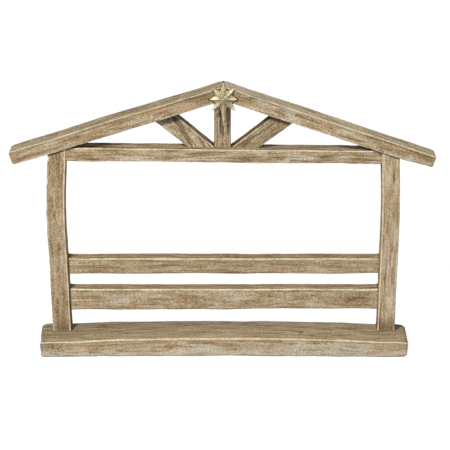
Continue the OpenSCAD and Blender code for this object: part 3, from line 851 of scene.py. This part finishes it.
def dry_brush_group():
    """Mask of the cream paint dragged along the arrises."""
    tree, given, out = new_group(
        "dry brushed edge", ("Grain", "Arris", "Paint", "Width"), ("Mask",))
    grain = given["Grain"]
    waver = cloud(tree, grain, along=7.0, across=60.0)
    broken = cloud(tree, grain, along=12.0, across=40.0)
    # How far from the arris the paint reaches
    limit = maths(tree, "MULTIPLY_ADD", waver, 0.8, 0.6)
    limit = maths(tree, "MULTIPLY", limit, given["Width"])
    inner = maths(tree, "MULTIPLY", limit, 0.62)
    line = ease(tree, given["Arris"], inner, limit, 1.0, 0.0)
    # Up to which level of the broken noise the arris stays bare, and from which it is covered
    bare = maths(tree, "SUBTRACT", 1.0, given["Paint"])
    bare = maths(tree, "MULTIPLY_ADD", bare, 0.62, 0.05)
    kept = ease(tree, broken, bare, maths(tree, "ADD", bare, 0.16))
    thick = cloud(tree, grain, along=4.0, across=40.0)
    kept = maths(tree, "MULTIPLY", kept, ease(tree, thick, 0.30, 0.62, 0.5, 1.0))
    feed(tree, out, "Mask", maths(tree, "MULTIPLY", line, kept))
    return tree


def joint_grime_and_shade_group():
    """Mask of the dark stain in grooves, and of the grime and painted shade in joints."""
    tree, given, out = new_group(
        "joint grime and shade", ("Grain", "Seam", "Relief", "Joint", "Reach", "Groove"), ("Mask",))
    grain = given["Grain"]
    ragged = cloud(tree, grain, along=5.0, across=2.5)
    reach = maths(tree, "MULTIPLY_ADD", ragged, given["Reach"], 0.3)
    joint = ease(tree, given["Seam"], 0.0, reach, 1.0, 0.0)
    patchy = cloud(tree, grain, along=3.2, across=3.2)
    joint = maths(tree, "MULTIPLY", joint, ease(tree, patchy, 0.36, 0.60, 0.3, 1.1))
    joint = maths(tree, "MULTIPLY", joint, given["Joint"])
    groove = ease(tree, given["Relief"], -0.25, -1.0)
    groove = maths(tree, "MULTIPLY", groove, given["Groove"])
    feed(tree, out, "Mask", maths(tree, "MAXIMUM", joint, groove))
    return tree


def place(tree, group, **sockets):
    """Put a shared group in a material with its own values."""
    made = tree.nodes.new("ShaderNodeGroup")
    made.node_tree = group
    for name, value in sockets.items():
        feed(tree, made, name, value)
    return made.outputs


def read(tree, name):
    """Number stored on the mesh, or the vector of the grain."""
    made = add(tree, "ShaderNodeAttribute", attribute_name=name)
    return made.outputs["Vector" if name == "grain" else "Fac"]


def ramp(tree, value, stops):
    """Colour ramp from pairs of a place and a colour."""
    made = add(tree, "ShaderNodeValToRGB")
    feed(tree, made, 0, value)
    elements = made.color_ramp.elements
    while len(elements) < len(stops):
        elements.new(0.5)
    for element, (spot, colour) in zip(elements, stops):
        element.position = spot
        element.color = colour
    return made.outputs[0]


def new_material(name):
    """Empty material; returns it with its tree and its shader."""
    material = bpy.data.materials.new(name)
    material.use_nodes = True
    tree = material.node_tree
    return material, tree, tree.nodes["Principled BSDF"]


def place_in_mm(tree):
    """Place on the piece, in millimetres."""
    spot = add(tree, "ShaderNodeTexCoord").outputs["Object"]
    return vector_maths(tree, "DIVIDE", spot, (MM, MM, MM))


def add_bump(tree, shader, height, strength, depth):
    """Fine relief in a material."""
    bump = add(tree, "ShaderNodeBump")
    feed(tree, bump, "Strength", strength)
    feed(tree, bump, "Distance", depth)
    feed(tree, bump, "Height", height)
    feed(tree, shader, "Normal", bump.outputs[0])


streaks = grain_streaks_group()
limewash = limewash_group()
dry_brush = dry_brush_group()
joint_grime_and_shade = joint_grime_and_shade_group()


def base_marks(tree, surface, colour):
    """Painted shading of the base's top, paler at the front and the right, and the dark and pale
    flecks on its left end.
    """
    grain = surface["grain"]
    spot = add(tree, "ShaderNodeSeparateXYZ")
    feed(tree, spot, 0, grain)
    shift = TIMBERS["base_plank"]["seed"] * GRAIN_SHIFT

    def level(output, start, end):
        """Level between two places along X or Y."""
        low, high = shift + start[0], shift + end[0]
        return ease(tree, spot.outputs[output], low, high, start[1], end[1])

    # Painted shading: the top is darker towards the back and the left, and paler towards the front
    # and the right
    worn = maths(tree, "MULTIPLY", level(1, TOP_FRONT, TOP_BACK), level(0, TOP_LEFT, TOP_RIGHT))
    worn = maths(tree, "SUBTRACT", worn, 1.0)
    worn = maths(tree, "MULTIPLY_ADD", worn, surface["upward"], 1.0)
    colour = blend(tree, 1.0, colour, worn, "MULTIPLY")
    here = level(0, (FLECKED_FULL, 1.0), (FLECKED_FROM, 0.0))
    dark = cloud(tree, grain, along=2.2, across=1.3, roughness=0.65)
    dark = ease(tree, dark, 0.50, 0.64, 0.0, FLECKS_DARK)
    pale = cloud(tree, grain, along=2.7, across=1.3, roughness=0.65)
    pale = ease(tree, pale, 0.48, 0.34, 0.0, FLECKS_PALE)
    colour = blend(tree, maths(tree, "MULTIPLY", pale, here), colour, LIMEWASH)
    return blend(tree, maths(tree, "MULTIPLY", dark, here), colour, KNOT_BROWN)


def wood_surface(tree, look):
    """What the steps of a timber's finish are laid on: its grain, relief, wear and streaks."""
    grain = read(tree, "grain")
    turned = add(tree, "ShaderNodeSeparateXYZ")
    feed(tree, turned, 0, add(tree, "ShaderNodeNewGeometry").outputs["Normal"])
    marks = place(tree, streaks, Grain=grain, Length=4.2, Width=1.05, Wander=look["wave"] * 1.4)
    return dict(
        grain=grain, relief=read(tree, "relief"), worn=read(tree, "worn"), marks=marks,
        upward=ease(tree, turned.outputs[2], 0.45, 0.80))


def brown_stain_and_top_shading(tree, look, surface):
    """Brown stain, from dark to pale in streaks, with pink patches and painted light and shade on
    top.
    """
    marks, upward = surface["marks"], surface["upward"]
    speck = cloud(tree, surface["grain"], along=1.3, across=1.0, detail=1.0)
    value = with_shares(
        tree, 0.0, (marks["Long"], 0.7), (marks["Fine"], 0.3), (marks["Tint"], 0.3), (speck, 0.6))
    value = maths(tree, "SUBTRACT", value, STREAK_MIDDLE)
    contrast = STREAK_GAIN * look["streak"]
    contrast = maths(tree, "MULTIPLY_ADD", upward, contrast * TOP_STREAKS, contrast)
    value = maths(tree, "MULTIPLY_ADD", value, contrast, 0.5)
    value = with_shares(tree, value, (surface["relief"], 0.08), (surface["worn"], 0.12))
    colour = ramp(tree, value, (
        (0.14, DARK_BROWN), (0.34, BROWN), (0.54, TAN), (0.78, LIGHT_TAN)))
    pinkness = ease(tree, marks["Tint"], 0.50, 0.66, 0.0, 0.6 * look["pink"])
    colour = blend(tree, pinkness, colour, PINK_BROWN)
    colour = blend(tree, 1.0, colour, (look["tone"],) * 3 + (1.0,), "MULTIPLY")
    # Painted light and shade: the upper side is toned darker on most timbers and brighter on the
    # right rafter
    return blend(tree, upward, colour, rgb(*look["top"]), "MULTIPLY")


def white_wash(tree, look, surface, colour):
    """Thin white wash over the stain, with a fine grit in both."""
    grain = surface["grain"]
    # On the base the wash grows lower down: partly white wash, partly painted light thrown up from
    # the floor
    amount = look["wash"] - look["low"] * 0.3
    amount = maths(tree, "MULTIPLY_ADD", read(tree, "low"), look["low"], amount)
    amount = maths(tree, "MULTIPLY_ADD", surface["worn"], 0.8, amount)
    wash = place(
        tree, limewash, Grain=grain, Relief=surface["relief"], Streak=surface["marks"]["Fine"],
        Amount=amount)
    less = maths(tree, "MULTIPLY_ADD", surface["upward"], look["top_wash"] - 1, 1.0)
    colour = blend(tree, maths(tree, "MULTIPLY", wash["Mask"], less), colour, LIMEWASH)
    grit = cloud(tree, grain, along=1.2, across=1.0, detail=0.0, roughness=0.5)
    grit = maths(tree, "MULTIPLY_ADD", grit, 1.1, 0.45)
    return blend(tree, 1.0, colour, grit, "MULTIPLY")


def stains_and_edges(tree, look, surface, colour):
    """Stained feet and edges, painted shade on the lower arrises and partly on the struts' heads,
    grime and painted shade in joints, dark grooves, knots, and cream along the arrises.
    """
    grain = surface["grain"]
    # Brown stain on feet, heads and edges; along the lower arrises it is painted shade, and on the
    # struts' heads partly painted shade
    patchy = ease(tree, surface["marks"]["Fine"], 0.3, 0.6, 0.6, 1.3)
    stain = maths(tree, "MULTIPLY", read(tree, "stain"), patchy)
    stain = maths(tree, "MULTIPLY", stain, maths(tree, "SUBTRACT", 1.0, surface["upward"]))
    colour = blend(tree, stain, colour, STAIN_AND_SHADE_BROWN)
    # Grime and painted shade round the joints, and dark stain in the grooves
    grime_and_shade = place(
        tree, joint_grime_and_shade, Grain=grain, Seam=read(tree, "grimy_and_shaded"), Relief=surface["relief"],
        Joint=look["joint"], Reach=look["reach"], Groove=look["dark"])
    colour = blend(tree, grime_and_shade["Mask"], colour, GRIME_AND_SHADE)
    colour = blend(tree, read(tree, "knot"), colour, KNOT_BROWN)
    edge = place(
        tree, dry_brush, Grain=grain, Arris=read(tree, "arris"), Paint=read(tree, "paint"),
        Width=look["edge_w"])
    strength = ease(tree, read(tree, "seam"), 0.3, 1.8, 0.0, look["cream"])
    return blend(tree, maths(tree, "MULTIPLY", edge["Mask"], strength), colour, CREAM)


def timber_material(node, look):
    """Stained and limewashed timber, with cream dragged along its edges."""
    material, tree, shader = new_material(node + " finish")
    surface = wood_surface(tree, look)
    colour = white_wash(tree, look, surface, brown_stain_and_top_shading(tree, look, surface))
    if node == "base_plank":
        colour = base_marks(tree, surface, colour)
    colour = stains_and_edges(tree, look, surface, colour)
    feed(tree, shader, "Base Color", colour)
    fine = surface["marks"]["Fine"]
    feed(tree, shader, "Roughness", maths(tree, "MULTIPLY_ADD", fine, 0.3, 0.65))
    pores = cloud(tree, surface["grain"], along=2.2, across=0.35)
    height = maths(tree, "MULTIPLY_ADD", fine, 0.7, pores)
    add_bump(tree, shader, height, 0.55, 0.35 * MM)
    shader.inputs["Specular IOR Level"].default_value = 0.03
    return material


def beech_material():
    """Plain turned beech of the dowels."""
    material, tree, shader = new_material("beech")
    marks = place(
        tree, streaks, Grain=place_in_mm(tree), Length=6.0, Width=0.8, Wander=1.0)
    colour = ramp(tree, marks["Fine"], (
        (0.3, rgb(176, 140, 98)), (0.5, rgb(208, 176, 132)), (0.7, rgb(222, 196, 156))))
    feed(tree, shader, "Base Color", colour)
    feed(tree, shader, "Roughness", ease(tree, marks["Fine"], 0.3, 0.7, 0.5, 0.65))
    return material


def steel_material():
    """Zinc-plated steel of the screws and the pin."""
    material, tree, shader = new_material("plated steel")
    stain = cloud(tree, place_in_mm(tree), along=1.6, across=1.6, detail=3.0)
    colour = ramp(tree, stain, ((0.35, rgb(128, 122, 112)), (0.65, rgb(196, 194, 188))))
    feed(tree, shader, "Base Color", colour)
    feed(tree, shader, "Roughness", ease(tree, stain, 0.3, 0.7, 0.5, 0.3))
    shader.inputs["Metallic"].default_value = 1.0
    return material


def star_material():
    """Worn champagne-gold paint, dark in the valleys, and bright on the ridges with rubbed paint
    and a painted highlight.
    """
    material, tree, shader = new_material("old gold")
    spot = place_in_mm(tree)
    speck = cloud(tree, spot, along=1.3, across=1.3, detail=3.0)
    stain = cloud(tree, spot, along=4.5, across=4.5, roughness=0.5)
    # Rubbed paint and a painted highlight along the ridges, faded in from the middle
    value = with_shares(
        tree, 0.28, (read(tree, "ridge"), 0.40), (maths(tree, "SUBTRACT", speck, 0.5), 0.95),
        (maths(tree, "SUBTRACT", stain, 0.5), 0.6))
    colour = ramp(tree, value, (
        (0.04, rgb(92, 77, 50)), (0.25, rgb(144, 129, 96)), (0.48, rgb(182, 169, 133)),
        (0.78, rgb(232, 224, 198))))
    feed(tree, shader, "Base Color", colour)
    feed(tree, shader, "Metallic", ease(tree, value, 0.1, 0.8, 0.3, 0.5))
    feed(tree, shader, "Roughness", ease(tree, value, 0.1, 0.8, 0.6, 0.36))
    add_bump(tree, shader, speck, 0.4, 0.3 * MM)
    return material


def stored_values(mesh):
    """Numbers and vectors that are stored on a mesh's points, by name."""
    stored = {}
    for attribute in mesh.attributes:
        vector = attribute.data_type == "FLOAT_VECTOR"
        stored_here = attribute.domain == "POINT" and (vector or attribute.data_type == "FLOAT")
        if stored_here and attribute.name != "position":
            values = np.zeros(len(mesh.vertices) * (3 if vector else 1), np.float32)
            attribute.data.foreach_get("vector" if vector else "value", values)
            stored[attribute.name] = values.reshape(-1, 3) if vector else values
    return stored


def shaped_mesh(piece):
    """Mesh of a piece with its modifiers applied."""
    bpy.context.view_layer.update()
    shaped = piece.evaluated_get(bpy.context.evaluated_depsgraph_get())
    return bpy.data.meshes.new_from_object(shaped)


def screw_hole(screw):
    """Body of the countersunk hole round a screw, whose points are given."""
    low, high = screw.min(0), screw.max(0)
    centre = (low + high) / 2
    head = (high[0] - low[0]) / 2
    wide, narrow = head * HEAD_WIDTH, head * SHANK_WIDTH
    profile = (
        (wide, -head), (wide, low[2]), (narrow, low[2] + head * CONE_HEIGHT),
        (narrow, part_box("base_plank")[1].z * HOLE_HEIGHT))
    turns = [math.tau * i / HOLE_SIDES for i in range(HOLE_SIDES)]
    spots = [
        (centre[0] + r * math.cos(turn), centre[1] + r * math.sin(turn), z)
        for r, z in profile for turn in turns
    ]
    top = (len(profile) - 1) * HOLE_SIDES
    faces = []
    for row in range(0, top, HOLE_SIDES):
        for i in range(HOLE_SIDES):
            k = (i + 1) % HOLE_SIDES
            faces.append((row + i, row + k, row + HOLE_SIDES + k, row + HOLE_SIDES + i))
    faces += [tuple(range(HOLE_SIDES))[::-1], tuple(range(top, top + HOLE_SIDES))]
    mesh = bpy.data.meshes.new("screw hole")
    mesh.from_pydata(spots, [], faces)
    return put_in_scene("screw hole", mesh)


def cut_screw_holes(piece):
    """Open the countersunk screw holes in the underside of the base's skin."""
    screws = np.array([v.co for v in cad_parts["post_screws"].data.vertices])
    stored = stored_values(piece.data)
    search = KDTree(len(piece.data.vertices))
    for i, v in enumerate(piece.data.vertices):
        search.insert(v.co, i)
    search.balance()
    for sign in (-1, 1):
        hole = screw_hole(screws[screws[:, 0] * sign > 0])
        cut = piece.modifiers.new("screw hole", "BOOLEAN")
        cut.operation = "DIFFERENCE"
        cut.solver = "EXACT"
        cut.object = hole
        made = shaped_mesh(piece)
        piece.modifiers.remove(cut)
        piece.data = made
        bpy.data.objects.remove(hole)
    nearest = np.array([search.find(v.co)[1] for v in piece.data.vertices])
    for name, values in stored.items():
        put_values(piece.data, name, values[nearest])


def star_piece():
    """Cast star over its CAD node, with eased ridges and a hammered face."""
    piece = put_in_scene("star_cast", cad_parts["star"].data.copy())
    weld = piece.modifiers.new("weld", "WELD")
    weld.merge_threshold = STAR_WELD * MM
    eased = piece.modifiers.new("eased ridges", "BEVEL")
    eased.width = STAR_EASE * MM
    eased.segments = 2
    eased.limit_method = "ANGLE"
    eased.angle_limit = math.radians(STAR_ANGLE)
    fine = piece.modifiers.new("fine", "REMESH")
    fine.mode = "VOXEL"
    fine.voxel_size = STAR_GRID * MM
    made = shaped_mesh(piece)
    piece.modifiers.clear()
    piece.data = made
    points = np.array([v.co for v in made.vertices]) / MM
    normals = np.array([v.normal for v in made.vertices])
    x, _, z = (points - star_centre()).T
    turn = np.degrees(np.arctan2(x, z)) % RAY_TURN
    off = np.minimum(turn, RAY_TURN - turn) / (RAY_TURN / 2)
    # Painted highlight along the rays' ridges, partly rubbed paint, faded in from the middle
    ridge = (1 - off) * smooth(*STAR_SHINE, np.hypot(x, z))
    hammer = sum(depth * noise(points, (cell,) * 3, seed) for cell, seed, depth in HAMMER_MARKS)
    front = smooth(0.1, 0.5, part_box("star")[1].y / MM - points[:, 1])
    moved = points + normals * ((hammer - HAMMER_DROP) * front)[:, None]
    made.vertices.foreach_set("co", (moved * MM).ravel())
    put_values(made, "ridge", ridge * front)
    made.shade_smooth()
    made.update()
    return piece


def star_centre():
    """Place of the star's raised middle, its foremost point, in millimetres."""
    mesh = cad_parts["star"].data
    return np.array(min((v.co for v in mesh.vertices), key=lambda co: co.y)) / MM


def coat(piece, material):
    """Give a piece one material."""
    piece.data.materials.clear()
    piece.data.materials.append(material)


# The stable's pieces
for node, look in TIMBERS.items():
    piece = timber_skin(node, look)
    if node == "base_plank":
        cut_screw_holes(piece)
    coat(piece, timber_material(node, look))
    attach(piece, "root")
    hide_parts(node)

star = star_piece()
coat(star, star_material())
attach(star, "root")
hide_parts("star")

beech = beech_material()
steel = steel_material()
for name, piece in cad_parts.items():
    if "dowel" in name:
        coat(piece, beech)
    if name in ("post_screws", "star_pin"):
        coat(piece, steel)


# Stage, light and camera

# Half the floor's side in metres, the share of it that takes shadows, its colour for the light
# that it throws back and for the eye, and its glow
FLOOR_HALF = 6.0
FLOOR_SHADE = 0.10
FLOOR_BOUNCE = 0.35
FLOOR_WHITE = 0.95
FLOOR_GLOW = 1.1
# Strength of the world's light
WORLD_LEVEL = 0.08
# Soft lamps: azimuth and elevation in degrees, distance, width and height in metres, and the
# share of full light that each gives a white card that faces it
LAMPS = {
    "key": (-22, 40, 2.4, 0.38, 0.38, 1.005),
    "front fill": (14, 6, 2.6, 1.8, 1.0, 0.08),
    "rear fill": (172, 7, 2.6, 1.4, 0.8, 0.5),
}
LAMP_AIM = Vector((0, 0, 0.15))


def white_for_camera(tree):
    """Mask that is 1 for what the camera sees directly, in a mirror or through glass."""
    path = tree.nodes.new("ShaderNodeLightPath")
    seen = maths(tree, "ADD", path.outputs["Is Camera Ray"], path.outputs["Is Glossy Ray"])
    return maths(tree, "ADD", seen, path.outputs["Is Transmission Ray"], clamp=True)


def mixed(tree, share, first, second):
    """Shader that turns from one into another."""
    made = tree.nodes.new("ShaderNodeMixShader")
    for socket, value in enumerate((share, first.outputs[0], second.outputs[0])):
        feed(tree, made, socket, value)
    return made


def pale_floor():
    """White floor that keeps a faint shadow and can be looked through from below."""
    mesh = bpy.data.meshes.new("floor")
    corners = [(-FLOOR_HALF, -FLOOR_HALF, 0), (FLOOR_HALF, -FLOOR_HALF, 0),
               (FLOOR_HALF, FLOOR_HALF, 0), (-FLOOR_HALF, FLOOR_HALF, 0)]
    mesh.from_pydata(corners, [], [(0, 1, 2, 3)])
    floor = put_in_scene("floor", mesh)
    material, tree, _ = new_material("pale floor")
    tree.nodes.clear()
    cloth = tree.nodes.new("ShaderNodeBsdfDiffuse")
    glow = tree.nodes.new("ShaderNodeEmission")
    clear = tree.nodes.new("ShaderNodeBsdfTransparent")
    glow.inputs["Strength"].default_value = FLOOR_GLOW
    seen = white_for_camera(tree)
    feed(tree, cloth, "Color", ease(tree, seen, 0.0, 1.0, FLOOR_BOUNCE, FLOOR_WHITE))
    top = mixed(tree, maths(tree, "MULTIPLY", seen, 1 - FLOOR_SHADE), cloth, glow)
    under = tree.nodes.new("ShaderNodeNewGeometry")
    both = mixed(tree, under.outputs["Backfacing"], top, clear)
    feed(tree, tree.nodes.new("ShaderNodeOutputMaterial"), 0, both.outputs[0])
    mesh.materials.append(material)


def studio_world():
    """White background with a low, even light."""
    world = bpy.data.worlds.new("studio")
    bpy.context.scene.world = world
    world.use_nodes = True
    tree = world.node_tree
    back = tree.nodes["Background"]
    back.inputs["Color"].default_value = (1, 1, 1, 1)
    seen = white_for_camera(tree)
    feed(tree, back, "Strength", ease(tree, seen, 0.0, 1.0, WORLD_LEVEL, 1.0))


def softbox(name, azimuth, elevation, distance, width, height, share):
    """Soft rectangular lamp aimed at the stable."""
    lamp = bpy.data.lights.new(name, "AREA")
    lamp.shape = "RECTANGLE"
    lamp.size = width
    lamp.size_y = height
    lamp.energy = share * (math.pi * distance) ** 2
    body = put_in_scene(name, lamp)
    a, e = math.radians(azimuth), math.radians(elevation)
    away = Vector((math.sin(a) * math.cos(e), -math.cos(a) * math.cos(e), math.sin(e)))
    body.location = LAMP_AIM + away * distance
    body.rotation_mode = "QUATERNION"
    body.rotation_quaternion = away.to_track_quat("Z", "Y")


def photo_camera():
    """Camera where the photograph was taken from."""
    data = bpy.data.cameras.new("camera")
    data.sensor_width = SENSOR_MM
    data.lens = SENSOR_MM * CAMERA_DISTANCE / (PHOTO_PX * MM_PER_PX * MM)
    camera = put_in_scene("camera", data)
    back = Vector((0, -math.cos(CAMERA_TILT), math.sin(CAMERA_TILT)))
    camera.location = AIM + back * CAMERA_DISTANCE
    camera.rotation_euler = (math.pi / 2 - CAMERA_TILT, 0, 0)
    bpy.context.scene.camera = camera


pale_floor()
studio_world()
for name, values in LAMPS.items():
    softbox(name, *values)
photo_camera()
bpy.context.scene.view_settings.view_transform = "Standard"
